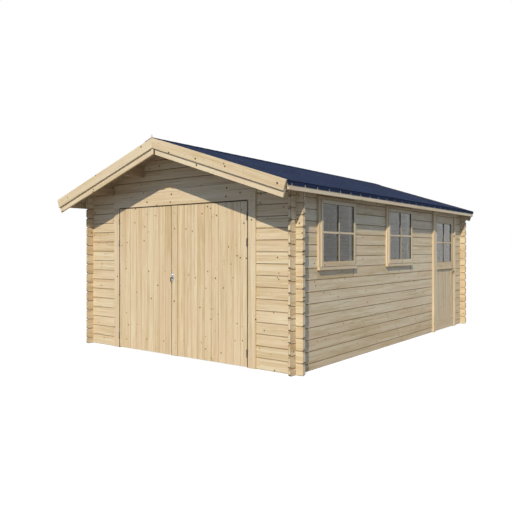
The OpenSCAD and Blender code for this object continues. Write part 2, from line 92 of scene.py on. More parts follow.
WINDOW_W = 0.91
WINDOW_EDGE = 0.04  # visible width of a window casing
WINDOW_LINING_T = 0.02
CASING_T = 0.027
SILL_H = 0.042
SILL_OUT = 0.036
SASH_W = 0.042
SASH_LOW_H = 0.06
BAR_W = 0.025  # glazing bars
SEAL_SHADE_T = 0.003  # dark seals round each pane and beside the bars, in front: real glazing seals, darkened as painted shade of the gaps there
SPACER_T = 0.002  # dark spacers round each pane, behind

ROOF_BOARD_W = 0.096
PURLIN_D = 0.145
VERGE_W = 0.12
VERGE_LOW_W = 0.095
VERGE_LAP = 0.025
MITRE_GAP = 0.0003  # from the ridge's middle to the verge boards on each side
JOINT_SLIT = 0.03  # from the ridge to the right lower verge board, beside the joint strip
TAB_W = 0.2533  # one shingle tab with its slit
TAB_EXPOSED = 0.145
TAB_LAP = 0.03  # how far each course runs up under the next one
TAB_TILT = -0.011  # turn of each course, whose upper end lies under the next one
SLIT = 0.009
DROP_SLIT = 0.018  # slits in the part turned down over the eave
TOOTH_H = 0.024  # height of those slits
CAP_W = 0.125  # from the ridge's middle to the cap's edge
CAP_T = 0.006
CAP_PIECES = 31
CAP_LAP = 1.12  # length of a cap piece, as a share of what it shows
CAP_TILT = -0.008  # turn of each cap piece, whose rear end lies under the next one
TIP_HALF = 0.016  # half width and thickness of the pointed end on the front verge
TIP_T = 0.006

RINGS_PER_METRE = 190.0  # year rings in the wood

# -------- view and light
CAMERA_PLACE = (5.262, -7.816, 1.379)
CAMERA_TURN = math.radians(37.616)
SENSOR_W = 36
LENS = 39.93
LENS_SHIFT = -0.0129
SUN_TRAVEL = (-0.315, 0.733, -0.602)
SUN_ENERGY = 3.4
SUN_COLOUR = (1.0, 0.91, 0.76)
SUN_ANGLE = math.radians(0.6)
SKY_COLOUR = (0.42, 0.63, 1.0, 1.0)
SKY_STRENGTH = 0.58
WHITE = (1.0, 1.0, 1.0, 1.0)
FLOOR_HALF = 60.0
FLOOR_GREY = (0.25, 0.25, 0.25, 1.0)
FLOOR_GLOW = 0.8  # what the background rays see of the floor, beside its lit grey

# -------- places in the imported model
FRONT_LO, FRONT_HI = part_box("front_wall_left")
LEFT_LO, LEFT_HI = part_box("left_wall")
REAR_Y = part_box("rear_wall")[0].y
ROOF_LO, ROOF_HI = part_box("roof_boards_right")
COVER_LO, COVER_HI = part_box("roof_cover_right")
LOG_T = FRONT_HI.y - FRONT_LO.y
END_X = -FRONT_LO.x
HALF_W = -LEFT_LO.x
BOARD_Z = ROOF_LO.z + ROOF_HI.x * SLOPE  # underside of the roof boards at the ridge
RIDGE_Z = COVER_HI.z
COVER_Z = BOARD_Z + (RIDGE_Z - BOARD_Z) * 2 / 3  # underside of the covering at the ridge
COVER_T = (RIDGE_Z - COVER_Z) * math.cos(PITCH)
COVER_LENGTH = COVER_HI.x / math.cos(PITCH)
ROOF_HALF_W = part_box("eave_boards")[1].x
CAP_LOW = RIDGE_Z + 0.0003  # underside of the ridge cap, clear of the covering

# The front doorway: half its clear width, and the face of the stops
JAMB_LO, JAMB_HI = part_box("door_jamb_right")
CLEAR = JAMB_LO.x + STOP_D
DOOR_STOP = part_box("right_leaf")[1].y + STOP_GAP

# The side doorway: its casing's outer edges, its clear faces and head, and the stops' inner face
SIDE_LO, SIDE_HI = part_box("side_jamb_rear")
CASING_FRONT, CASING_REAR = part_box("side_jamb_front")[0].y, SIDE_HI.y
SIDE_FRONT, SIDE_REAR = CASING_FRONT + CASING_W, CASING_REAR - CASING_W
SIDE_INNER, SIDE_OUT, SIDE_TOP = SIDE_LO.x, HALF_W + SIDE_CASING_T, SIDE_HI.z
SIDE_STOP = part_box("side_leaf")[0].x - STOP_GAP - STOP_D

SIDES = (("right", 1), ("left", -1))
rng = random.Random(7)


# -------- meshes
def box_faces():
    """Faces of a chamfered box, whose vertex 3 * corner + axis lies on the face across axis."""
    corners = [(x, y, z) for x in (0, 1) for y in (0, 1) for z in (0, 1)]
    place = {c: 3 * i for i, c in enumerate(corners)}

    def corner(axis, value, a, b):
        c = [0, 0, 0]
        c[axis], c[(axis + 1) % 3], c[(axis + 2) % 3] = value, a, b
        return place[tuple(c)]

    faces = [[place[c] + k for k in range(3)] for c in corners]
    for k in range(3):
        u, v = (k + 1) % 3, (k + 2) % 3
        for s in (0, 1):
            faces.append([corner(k, s, a, b) + k for a, b in ((0, 0), (1, 0), (1, 1), (0, 1))])
        for a in (0, 1):
            for b in (0, 1):
                low, high = corner(k, 0, a, b), corner(k, 1, a, b)
                faces.append([low + u, high + u, high + v, low + v])
    points = box_points((0, 0, 0), (1, 1, 1), (0.2, 0.2, 0.2))
    middle = Vector((0.5, 0.5, 0.5))
    for f in faces:
        p = [points[i] for i in f]
        normal = (p[1] - p[0]).cross(p[2] - p[0])
        if normal.dot(sum(p, Vector()) / len(p) - middle) < 0:
            f.reverse()
    return faces


def box_points(lo, hi, chamfer):
    """Three vertices for each corner of a box, set back from its edges by the chamfer."""
    points = []
    for corner in [(x, y, z) for x in (0, 1) for y in (0, 1) for z in (0, 1)]:
        for k in range(3):
            p = [hi[j] if corner[j] else lo[j] for j in range(3)]
            for j in range(3):
                if j != k:
                    p[j] += -chamfer[j] if corner[j] else chamfer[j]
            points.append(Vector(p))
    return points


BOX_FACES = box_faces()


def link(name, data):
    """A new object in the scene."""
    thing = bpy.data.objects.new(name, data)
    bpy.context.scene.collection.objects.link(thing)
    return thing


class Kit:
    """Collects bars and rods into one mesh, with the grain's coordinates, a tint for each bar and a mask of
    painted shade on its chamfers and slanted cuts.
    """

    def __init__(self):
        self.points, self.faces, self.grain, self.tint = [], [], [], []
        self.finish, self.groove = [], []

    def add(self, points, faces, grain, material=0, smooth=False, groove=None):
        """Adds a closed part whose points share one random tint."""
        base = len(self.points)
        self.points += points
        self.faces += [[base + i for i in f] for f in faces]
        self.grain += grain
        self.tint += [rng.random()] * len(points)
        self.finish += [(material, smooth)] * len(faces)
        self.groove += groove or [0.0] * len(faces)

    def bar(self, lo, hi, along, chamfer=EDGE, cuts=(), matrix=None, mirror=False, material=0):
        """A chamfered bar from lo to hi with its grain along an axis.

        cuts are (point, outward normal) planes in the row frame, and mirror makes the twin
        of the bar across X = 0.
        """
        if isinstance(chamfer, float):
            chamfer = (chamfer,) * 3
        matrix = matrix or Matrix()
        if mirror:
            matrix = Matrix.Diagonal((-1, 1, 1, 1)) @ matrix
        chamfer = [min(c, (hi[j] - lo[j]) * 0.45) for j, c in enumerate(chamfer)]
        points = [matrix @ p for p in box_points(lo, hi, chamfer)]
        faces = BOX_FACES
        if matrix.determinant() < 0:
            faces = [f[::-1] for f in faces]
        if cuts:
            points, faces = cut(points, faces, cuts)
            if not points:
                return
        sides = [matrix.to_3x3().col[k].normalized() for k in range(3)]
        # painted shade: chamfers and slanted cuts are marked 1, to be darkened like the shade in log seams,
        # notches and board joints
        groove = [0.0 if flat(points, f, sides) else 1.0 for f in faces]
        v, u = sorted((k for k in range(3) if k != along), key=lambda k: hi[k] - lo[k])
        middle = [(lo[j] + hi[j]) / 2 for j in range(3)]
        start = rng.uniform(0, 40)
        pith_u = rng.uniform(-0.05, 0.05)
        pith_v = rng.choice((-1, 1)) * rng.uniform(0.03, 0.12)
        back = matrix.inverted()
        grain = []
        for p in points:
            q = back @ p
            grain.append((q[along] + start, q[u] - middle[u] + pith_u, q[v] - middle[v] + pith_v))
        self.add(points, faces, grain, material, groove=groove)

    def rod(self, a, b, radius, sides=20, edge=0.001, material=0):
        """A round bar from a to b with a small chamfer at both ends."""
        a, b = Vector(a), Vector(b)
        axis = (b - a).normalized()
        side = axis.orthogonal().normalized()
        other = axis.cross(side)
        rings = [(a, radius - edge), (a + axis * edge, radius),
                 (b - axis * edge, radius), (b, radius - edge)]
        points = []
        for centre, r in rings:
            for i in range(sides):
                t = 2 * math.pi * i / sides
                points.append(centre + side * (r * math.cos(t)) + other * (r * math.sin(t)))
        faces = [list(range(sides))[::-1], list(range(3 * sides, 4 * sides))]
        for n in range(3):
            for i in range(sides):
                j = (i + 1) % sides
                faces.append([n * sides + i, n * sides + j, (n + 1) * sides + j, (n + 1) * sides + i])
        self.add(points, faces, [tuple(p) for p in points], material)

    def sweep(self, path, radii, sides=12, material=0):
        """A round tube along a path, with a radius at each point."""
        path = [Vector(p) for p in path]
        points, faces = [], []
        for i, p in enumerate(path):
            ahead = (path[min(i + 1, len(path) - 1)] - path[max(i - 1, 0)]).normalized()
            side = Vector((0, 0, 1)) if abs(ahead.z) < 0.9 else Vector((1, 0, 0))
            other = ahead.cross(side).normalized()
            side = other.cross(ahead)
            for k in range(sides):
                t = 2 * math.pi * k / sides
                points.append(p + side * (radii[i] * math.cos(t)) + other * (radii[i] * math.sin(t)))
        for i in range(len(path) - 1):
            for k in range(sides):
                j = (k + 1) % sides
                faces.append([i * sides + k, (i + 1) * sides + k, (i + 1) * sides + j, i * sides + j])
        faces.append(list(range(sides)))
        faces.append(list(range((len(path) - 1) * sides, len(path) * sides))[::-1])
        self.add(points, faces, [tuple(p) for p in points], material, smooth=True)

    def make(self, name, body, slot, materials, nodes):
        """The collected mesh as a piece that rides on a body and stands for CAD nodes."""
        mesh = bpy.data.meshes.new(name)
        mesh.from_pydata([tuple(p) for p in self.points], [], self.faces)
        grain = mesh.attributes.new("grain", "FLOAT_VECTOR", "POINT")
        grain.data.foreach_set("vector", [x for g in self.grain for x in g])
        tint = mesh.attributes.new("tint", "FLOAT", "POINT")
        tint.data.foreach_set("value", self.tint)
        groove = mesh.attributes.new("groove", "FLOAT", "FACE")
        groove.data.foreach_set("value", self.groove)
        for polygon, (material, smooth) in zip(mesh.polygons, self.finish):
            polygon.material_index = material
            polygon.use_smooth = smooth
        for m in materials:
            mesh.materials.append(m)
        piece = link(name, mesh)
        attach(piece, body)
        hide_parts(*nodes)


def ring(kit, lo, hi, width, chamfer=EDGE, material=0):
    """Four bars round a rectangle that faces X. The level ones run through."""
    for a, b in ((lo[2], lo[2] + width), (hi[2] - width, hi[2])):
        kit.bar((lo[0], lo[1], a), (hi[0], hi[1], b), 1, chamfer, material=material)
    for a, b in ((lo[1], lo[1] + width), (hi[1] - width, hi[1])):
        kit.bar((lo[0], a, lo[2] + width), (hi[0], b, hi[2] - width), 2, chamfer, material=material)


def flat(points, face, sides):
    """True for a face along one of a bar's own sides, and False for a chamfer or a slanted cut."""
    a, b, c = (points[i] for i in face[:3])
    normal = (b - a).cross(c - b).normalized()
    return max(abs(normal.dot(side)) for side in sides) > 0.99


def cut(points, faces, cuts):
    """Cuts a closed mesh by planes, closes it again and keeps what is behind them."""
    bm = bmesh.new()
    verts = [bm.verts.new(p) for p in points]
    for f in faces:
        bm.faces.new([verts[i] for i in f])
    for where, normal in cuts:
        geometry = bm.verts[:] + bm.edges[:] + bm.faces[:]
        bmesh.ops.bisect_plane(bm, geom=geometry, dist=1e-6, plane_co=where, plane_no=normal,
                               clear_outer=True)
        open_edges = [e for e in bm.edges if e.is_boundary]
        if open_edges:
            bmesh.ops.edgeloop_fill(bm, edges=open_edges)
    bmesh.ops.recalc_face_normals(bm, faces=bm.faces[:])
    bm.verts.index_update()
    result = [v.co.copy() for v in bm.verts], [[v.index for v in f.verts] for f in bm.faces]
    bm.free()
    return result


def ridge_cut(side, x=0.0):
    """Keeps what lies beyond x on one side of the ridge."""
    return Vector((x, 0, 0)), Vector((-side, 0, 0))


def eave_cut(side, x):
    """Keeps what lies within x on one side of the ridge."""
    return Vector((side * x, 0, 0)), Vector((side, 0, 0))


def slope_matrix(y, z):
    """Local X down the right slope, Y to the rear and Z square to the slope, from the ridge."""
    turn = Matrix.Rotation(PITCH, 4, "Y")
    return Matrix.Translation((0, y, z)) @ turn


# -------- materials
class Nodes:
    """Short calls for building a material's node tree."""

    def __init__(self, name):
        self.material = bpy.data.materials.new(name)
        self.material.use_nodes = True
        self.tree = self.material.node_tree
        self.shader = self.tree.nodes["Principled BSDF"]

    def node(self, kind, settings=None, **inputs):
        n = self.tree.nodes.new("ShaderNode" + kind)
        for key, value in (settings or {}).items():
            setattr(n, key, value)
        for key, value in inputs.items():
            self.put(n.inputs[key.replace("_", " ")], value)
        return n

    def attribute(self, name):
        return self.node("Attribute", {"attribute_name": name})

    def put(self, socket, value):
        if isinstance(value, bpy.types.NodeSocket):
            self.tree.links.new(value, socket)
        else:
            socket.default_value = value

    def maths(self, operation, a, b=0.0, clamp=False):
        n = self.node("Math", {"operation": operation, "use_clamp": clamp})
        self.put(n.inputs[0], a)
        self.put(n.inputs[1], b)
        return n.outputs[0]

    def times(self, a, b):
        return self.maths("MULTIPLY", a, b)

    def plus(self, total, part, share, clamp=False):
        """total with a share of part added to it."""
        return self.maths("ADD", total, self.times(part, share), clamp)

    def scaled(self, vector, factors):
        n = self.node("VectorMath", {"operation": "MULTIPLY"})
        self.put(n.inputs[0], vector)
        self.put(n.inputs[1], factors)
        return n.outputs[0]

    def noise(self, vector, factors, detail=2.0, roughness=0.5):
        n = self.node("TexNoise", Vector=self.scaled(vector, factors), Scale=1.0, Detail=detail,
                      Roughness=roughness)
        return n.outputs["Fac"]

    def span(self, value, a, b, low=0.0, high=1.0):
        """value mapped from a..b to low..high with smooth ends."""
        n = self.node("MapRange", {"interpolation_type": "SMOOTHSTEP"})
        for socket, x in zip(n.inputs, (value, a, b, low, high)):
            self.put(socket, x)
        return n.outputs[0]

    def mix(self, factor, a, b):
        n = self.node("Mix", {"data_type": "RGBA"})
        self.put(n.inputs[0], factor)
        self.put(n.inputs[6], a)
        self.put(n.inputs[7], b)
        return n.outputs[2]

    def bump(self, height, strength, distance):
        n = self.node("Bump", Height=height, Strength=strength, Distance=distance)
        self.tree.links.new(n.outputs[0], self.shader.inputs["Normal"])

    def set(self, **inputs):
        for key, value in inputs.items():
            self.put(self.shader.inputs[key.replace("_", " ")], value)


def colour(r, g, b):
    return (r, g, b, 1.0)


def knot_reach(m, grain, scale):
    """Distance from the nearest knot's middle, in that knot's radii."""
    cells = m.node("TexVoronoi", {"voronoi_dimensions": "2D"}, Vector=grain, Scale=scale)
    size = m.node("SeparateColor", Color=cells.outputs["Color"]).outputs[0]
    radius = m.span(size, 0.25, 1.0, 0.012, 0.062)
    ragged = m.noise(grain, (60, 60, 20), 2.0)
    distance = m.maths("ADD", cells.outputs["Distance"], m.times(ragged, 0.012))
    return m.maths("DIVIDE", distance, radius)


def late_wood(m, grain, swell):
    """Dark bands of the year rings about the pith, which wander and bend round the knots."""
    parts = m.node("SeparateXYZ", Vector=grain)
    squares = [m.times(parts.outputs[k], parts.outputs[k]) for k in (1, 2)]
    radius = m.maths("SQRT", m.maths("ADD", *squares))
    wander = m.noise(grain, (0.9, 5, 5), 3.0)
    radius = m.plus(radius, wander, 0.035)
    radius = m.plus(radius, swell, 0.012)
    year = m.maths("FRACT", m.times(radius, RINGS_PER_METRE))
    return m.times(m.span(year, 0.35, 0.92), m.span(year, 0.93, 1.0, 1.0, 0.0))


def wood_depth(m, grain, late, fibre, swell):
    """The colour's depth from 0 to 1: rings, fibres, broad streaks and each bar's tint."""
    tint = m.attribute("tint").outputs["Fac"]
    broad = m.noise(grain, (0.7, 22, 22), 3.0, 0.6)
    depth = m.times(late, 0.34)
    depth = m.maths("ADD", depth, m.span(fibre, 0.3, 0.7, -0.14, 0.42))
    depth = m.maths("ADD", depth, m.span(broad, 0.34, 0.66, -0.15, 0.55))
    depth = m.plus(depth, m.maths("SUBTRACT", tint, 0.5), 0.42)
    return m.plus(depth, swell, 0.12, clamp=True)


def wood(name, pale, deep, knots=5.5, seam=0.2):
    """Planed spruce along the mesh's grain: year rings, fibres, knots with a halo, checks, and painted shade
    on chamfers.

    knots is the scale of their pattern, and seam is how much the chamfers are darkened as painted shade in
    the grooves and notches.
    """
    m = Nodes(name)
    grain = m.attribute("grain").outputs["Vector"]
    reach = knot_reach(m, grain, knots)
    heart = m.span(reach, 0.75, 1.1, 1.0, 0.0)
    halo = m.span(reach, 1.0, 2.6, 1.0, 0.0)
    swell = m.span(reach, 0.6, 4.5, 1.0, 0.0)
    late = late_wood(m, grain, swell)
    fibre = m.noise(grain, (4.0, 150, 150), 3.0, 0.65)
    base = m.mix(wood_depth(m, grain, late, fibre, swell), pale, deep)
    patch = m.noise(grain, (1.6, 4.0, 4.0), 2.0)
    rosy = colour(pale[0] * 0.93, pale[1] * 0.83, pale[2] * 0.80)
    base = m.mix(m.span(patch, 0.42, 0.7, 0.0, 0.6), base, rosy)
    golden = colour(pale[0] * 1.08, pale[1] * 1.04, pale[2] * 0.9)
    base = m.mix(m.times(halo, 0.5), base, golden)
    rim = m.times(m.span(reach, 0.85, 1.05), m.span(reach, 1.15, 1.5, 1.0, 0.0))
    base = m.mix(m.times(rim, 0.45), base, colour(0.4, 0.2, 0.09))
    base = m.mix(m.times(heart, 0.92), base, colour(0.05, 0.028, 0.016))
    check = m.span(m.noise(grain, (1.1, 95, 95), 1.0), 0.735, 0.76)
    base = m.mix(m.times(check, 0.55), base, colour(0.2, 0.12, 0.06))
    # painted shade: marked chamfers and cuts take a dark brown, as the shade in the V grooves
    groove = m.attribute("groove").outputs["Fac"]
    base = m.mix(m.times(groove, seam), base, colour(0.21, 0.125, 0.05))
    height = m.maths("ADD", m.times(late, 0.5), m.times(fibre, 0.7))
    height = m.maths("SUBTRACT", height, m.times(check, 1.6))
    height = m.plus(height, heart, 0.5)
    m.set(Base_Color=base, Roughness=m.span(fibre, 0.2, 0.8, 0.5, 0.72), Specular_IOR_Level=0.25)
    m.bump(height, 0.35, 0.0006)
    return m.material


def roofing():
    """Navy bitumen shingles with a granulated face."""
    m = Nodes("navy_shingle")
    place = m.node("TexCoord").outputs["Object"]
    grit = m.node("TexVoronoi", Vector=place, Scale=520.0)
    grains = m.node("SeparateColor", Color=grit.outputs["Color"]).outputs[0]
    tint = m.attribute("tint").outputs["Fac"]
    cloud = m.noise(place, (2.2, 2.2, 2.2), 4.0)
    shade = m.maths("ADD", m.times(grains, 0.45), m.times(tint, 0.22))
    shade = m.maths("ADD", shade, m.span(cloud, 0.3, 0.7, 0.0, 0.33), clamp=True)
    base = m.mix(shade, colour(0.013, 0.02, 0.047), colour(0.028, 0.043, 0.092))
    sparkle = m.span(grains, 0.93, 0.97, 0.0, 0.55)
    base = m.mix(sparkle, base, colour(0.13, 0.15, 0.2))
    m.set(Base_Color=base, Roughness=m.span(grains, 0, 1, 0.85, 0.98), Specular_IOR_Level=0.04)
    m.bump(m.maths("SUBTRACT", grains, grit.outputs["Distance"]), 0.5, 0.001)
    return m.material


def metal(name, base, worn, metallic=0.85, rough=(0.32, 0.5)):
    """Scratched metal with duller patches. metallic is 0 where it is painted."""
    m = Nodes(name)
    place = m.node("TexCoord").outputs["Object"]
    blotch = m.noise(place, (45, 45, 45), 4.0, 0.6)
    scratch = m.noise(place, (900, 900, 40), 2.0)
    tone = m.mix(m.span(blotch, 0.42, 0.66), base, worn)
    tone = m.mix(m.span(scratch, 0.6, 0.7, 0.0, 0.35), tone, colour(0.6, 0.6, 0.58))
    m.set(Base_Color=tone, Metallic=metallic, Roughness=m.span(blotch, 0.3, 0.7, *rough))
    m.bump(m.maths("ADD", blotch, scratch), 0.2, 0.0003)
    return m.material


def glass():
    """Clear glass with faint dust and a slight waviness."""
    m = Nodes("window_glass")
    place = m.node("TexCoord").outputs["Object"]
    dust = m.noise(place, (9, 9, 14), 5.0, 0.65)
    wave = m.noise(place, (2.2, 2.2, 3.0), 1.0)
    tone = m.mix(m.span(dust, 0.45, 0.75), colour(0.86, 0.9, 0.89), colour(0.7, 0.72, 0.7))
    m.set(Base_Color=tone, Roughness=m.span(dust, 0.4, 0.8, 0.02, 0.11),
          Transmission_Weight=1.0, IOR=1.38)
    m.bump(wave, 0.06, 0.01)
    return m.material


def gasket():
    """Dark brown rubber with a faint bloom, for seals and spacers and for painted shade in gaps and behind
    glass.
    """
    m = Nodes("brown_gasket_and_shade")
    bloom = m.noise(m.node("TexCoord").outputs["Object"], (60, 60, 60), 4.0)
    m.set(Base_Color=m.mix(m.span(bloom, 0.4, 0.7), colour(0.045, 0.036, 0.02), colour(0.075, 0.06, 0.04)),
          Roughness=m.span(bloom, 0.3, 0.7, 0.55, 0.75), Specular_IOR_Level=0.2)
    m.bump(bloom, 0.15, 0.0005)
    return m.material


# seam sets how strong the painted shade on the chamfers is
LOG_WOOD = wood("log_spruce", colour(0.77, 0.66, 0.455), colour(0.56, 0.41, 0.22), seam=0.62)
TRIM_WOOD = wood("trim_spruce", colour(0.77, 0.66, 0.46), colour(0.6, 0.45, 0.25), knots=4.2)
DOOR_WOOD = wood("door_spruce", colour(0.765, 0.645, 0.435), colour(0.56, 0.405, 0.215),
                 knots=5.2, seam=0.35)
ROOF_WOOD = wood("roof_spruce", colour(0.5, 0.4, 0.26), colour(0.33, 0.235, 0.13),
                 knots=5.0, seam=0.75)
SHINGLE = roofing()
STEEL = metal("plated_steel", colour(0.2, 0.195, 0.18), colour(0.09, 0.085, 0.08))
BRIGHT_STEEL = metal("bright_steel", colour(0.55, 0.58, 0.62), colour(0.34, 0.36, 0.4))
DARK_STEEL = metal("dark_steel", colour(0.05, 0.046, 0.04), colour(0.025, 0.022, 0.02), 0.0, (0.5, 0.7))
BRASS = metal("aged_brass", colour(0.42, 0.3, 0.12), colour(0.22, 0.15, 0.06))
GLASS = glass()
GASKET_AND_SHADE = gasket()


# -------- walls
def roof_cuts():
    """The planes of the roof boards' underside."""
    top = Vector((0, 0, BOARD_Z))
    return [(top, Vector((s * SLOPE, 0, 1)).normalized()) for s in (1, -1)]


def log_wall(kit, along, face, start, end, first, top, openings):
    """Courses of chamfered logs. openings are (from, to, low, high) along the wall."""
    low_edge = BOARD_Z - END_X * SLOPE
    touching = 0.001
    z0, z1 = 0.0, first
    while z0 < top - touching:
        if top - z1 < THIN_LOG:
            z1 = max(z1, top + PAST_ROOF)
        for a, b, low, high in course_spans(start, end, z0, z1, openings):
            lo, hi = [0, 0, low], [0, 0, high]
            lo[along], hi[along] = a, b
            lo[1 - along], hi[1 - along] = face, face + LOG_T
            cuts = end_cuts(along, a, b, low, high, start, end)
            if high > low_edge:
                cuts += roof_cuts()
            kit.bar(lo, hi, along, (SEAM[0], SEAM[0], SEAM[1]), cuts)
        z0, z1 = z1, z1 + COURSE


def course_spans(start, end, z0, z1, openings):
    """The logs of one course as (from, to, low, high), broken or notched by the openings."""
    spans, at = [], start
    for a, b, low, high in sorted(o for o in openings if o[2] < z1 and o[3] > z0):
        spans.append((at, a, z0, z1))
        at = b
        if low > z0 + THIN_SLICE:
            spans.append((a, b, z0, low))
        if high < z1 - THIN_SLICE:
            spans.append((a, b, high, z1))
    spans.append((at, end, z0, z1))
    return spans


def end_cuts(along, a, b, low, high, start, end):
    """The corners sawn off a log's free ends, which leave a notch at each seam."""
    cuts = []
    for place, outward in ((a, -1), (b, 1)):
        if place not in (start, end):
            continue
        for z, up in ((low, -1), (high, 1)):
            where, normal = Vector((0, 0, z)), Vector((0, 0, up))
            where[along] = place - outward * END_NOTCH
            normal[along] = outward
            cuts.append((where, normal.normalized()))
    return cuts


def cross_wall(name, face, openings, nodes):
    """The front or the rear wall, from log end to log end and up into the gable."""
    kit = Kit()
    log_wall(kit, 0, face, -END_X, END_X, COURSE, BOARD_Z, openings)
    kit.make(name, "garage", "logs", [LOG_WOOD], nodes)


def long_wall(name, face, openings, nodes):
    """A side wall, which starts with half a log so that its courses cross the others."""
    kit = Kit()
    top = BOARD_Z - (HALF_W - LOG_T) * SLOPE
    log_wall(kit, 1, face, LEFT_LO.y, LEFT_HI.y, FIRST_SIDE_LOG, top, openings)
    kit.make(name, "garage", "logs", [LOG_WOOD], nodes)


def window_centres():
    lo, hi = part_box("window_casings")
    return lo.y + WINDOW_W / 2, hi.y - WINDOW_W / 2


def walls():
    door = (FRONT_HI.x, -FRONT_HI.x, BELOW_GROUND, FRONT_HI.z)
    cross_wall("front_wall_logs", FRONT_LO.y, [door], ["front_wall_left", "front_wall_right", "front_gable"])
    cross_wall("rear_wall_logs", REAR_Y, [], ["rear_wall"])
    long_wall("left_wall_logs", LEFT_LO.x, [], ["left_wall"])
    lower_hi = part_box("right_wall_lower")[1]
    corner_lo, corner_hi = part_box("right_wall_corner")
    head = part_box("window_casings")[1].z - WINDOW_EDGE / 2
    rough = WINDOW_W - WINDOW_EDGE
    openings = [(y - rough / 2, y + rough / 2, lower_hi.z, head) for y in window_centres()]
    openings.append((lower_hi.y, corner_lo.y, BELOW_GROUND, corner_hi.z))
    long_wall("right_wall_logs", HALF_W - LOG_T, openings,
              ["right_wall_lower", "right_wall_piers", "right_wall_corner", "right_wall_upper"])


# -------- front doorway and leaves
def front_jambs():
    """On each side a face board with a dark rubber strip along the opening as painted shade, the lining, the
    inner trim and the door stop.
    """
    lo, hi = JAMB_LO, JAMB_HI
    face, back, seal_shade = lo.y + FACE_T, hi.y - FACE_T, CLEAR + DOOR_SEAL_SHADE
    middle, aside, low, from_top = (CLEAR + hi.x) / 2, 0.04, 0.2, 0.1
    for word, side in SIDES:
        twin = side < 0
        kit = Kit()
        kit.bar((seal_shade, lo.y, 0), (hi.x, face, hi.z), 2, mirror=twin)
        # painted shade: a dark rubber strip stands for the shadowed gap by the leaf's edge
        kit.bar((CLEAR, lo.y + SEAL_SUNK, 0), (seal_shade, face, hi.z), 2, SHARP, mirror=twin, material=2)
        kit.bar((CLEAR, face, 0), (CLEAR + LINING_T, back, hi.z), 2, mirror=twin)
        kit.bar((CLEAR, back, 0), (CLEAR + INNER_TRIM_W, hi.y, hi.z), 2, mirror=twin)
        kit.bar((CLEAR - STOP_D, DOOR_STOP, 0), (CLEAR, DOOR_STOP + STOP_D, hi.z), 2, mirror=twin)
        screws(kit, [(middle + dx, lo.y, z) for z in steps(low, hi.z - from_top, 5)
                     for dx in (-aside, aside)], (0, -1, 0), twin)
        kit.make("jamb_" + word + "_boards", "garage", "trim", [TRIM_WOOD, STEEL, GASKET_AND_SHADE],
                 ["door_jamb_" + word])


def front_header():
    """The deep board over the doors with a strip under it, dark rubber over the leaves as painted shade, and
    the lining, trim and stop behind it.
    """
    lo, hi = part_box("door_header")
    face, under = JAMB_LO.y, JAMB_HI.z
    board, back, seal_shade = face + FACE_T, JAMB_HI.y - FACE_T, under + DOOR_SEAL_SHADE
    lining, trim = CLEAR + LINING_T, CLEAR + INNER_TRIM_W
    kit = Kit()
    kit.bar((lo.x, face, seal_shade), (hi.x, board, hi.z), 0)
    # painted shade: over the leaves the strip under the board is dark rubber, for the shadowed gap above
    # them
    for a, b, material in ((lo.x, -CLEAR, 0), (CLEAR, hi.x, 0), (-CLEAR, CLEAR, 2)):
        kit.bar((a, face + SEAL_SUNK, under), (b, board, seal_shade), 0, SHARP, material=material)
    kit.bar((-lining, board, under), (lining, back, under + LINING_T), 0)
    kit.bar((-trim, back, under), (trim, JAMB_HI.y, under + INNER_TRIM_W), 0)
    kit.bar((-CLEAR, DOOR_STOP, under - STOP_D), (CLEAR, DOOR_STOP + STOP_D, under), 0)
    from_end, from_edge = 0.06, 0.04
    screws(kit, [(x, face, z) for x in steps(lo.x + from_end, hi.x - from_end, 6)
                 for z in (under + from_edge, hi.z - from_edge)], (0, -1, 0))
    kit.make("header_boards", "garage", "trim", [TRIM_WOOD, STEEL, GASKET_AND_SHADE], ["door_header"])


def steps(a, b, count):
    """count places spread evenly from a to b."""
    return [a + (b - a) * i / (count - 1) for i in range(count)]


def screws(kit, places, out, mirror=False):
    out = Vector(out)
    for p in places:
        p = Vector(p)
        if mirror:
            p.x = -p.x
        kit.rod(p - out * SCREW_DEPTH, p + out * SCREW_PROUD, SCREW_R, 10, SCREW_PROUD, material=1)


def garage_leaf(name, node, body, first_w):
    """A leaf of grooved upright boards on a frame of stiles and rails.

    first_w is the width of a first board that the meeting strip covers, or 0.
    """
    lo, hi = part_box(node)
    kit = Kit()
    edges = [lo.x]
    if first_w:
        edges.append(lo.x + first_w)
    widest_last = BOARD_W * 1.2
    while hi.x - edges[-1] > widest_last:
        edges.append(edges[-1] + BOARD_W)
    edges.append(hi.x)
    back = lo.y + LEAF_BOARD_T
    for a, b in zip(edges, edges[1:]):
        kit.bar((a + BOARD_GAP, lo.y, lo.z), (b - BOARD_GAP, back, hi.z), 2, LEAF_GROOVE)
    for a in (lo.x, hi.x - LEAF_FRAME_W):
        kit.bar((a, back, lo.z), (a + LEAF_FRAME_W, hi.y, hi.z), 2)
    middle = (lo.z + hi.z - LEAF_FRAME_W) / 2
    for z in (lo.z, middle, hi.z - LEAF_FRAME_W):
        kit.bar((lo.x + LEAF_FRAME_W, back, z), (hi.x - LEAF_FRAME_W, hi.y, z + LEAF_FRAME_W), 0)
    kit.make(name, body, "door_boards", [DOOR_WOOD], [node])


def front_doors():
    lo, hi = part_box("meeting_strip")
    garage_leaf("left_leaf_boards", "left_leaf", "garage_door_left", 0)
    garage_leaf("right_leaf_boards", "right_leaf", "garage_door_right", hi.x - lo.x)
    meeting_strip(lo, hi)
    front_handle()


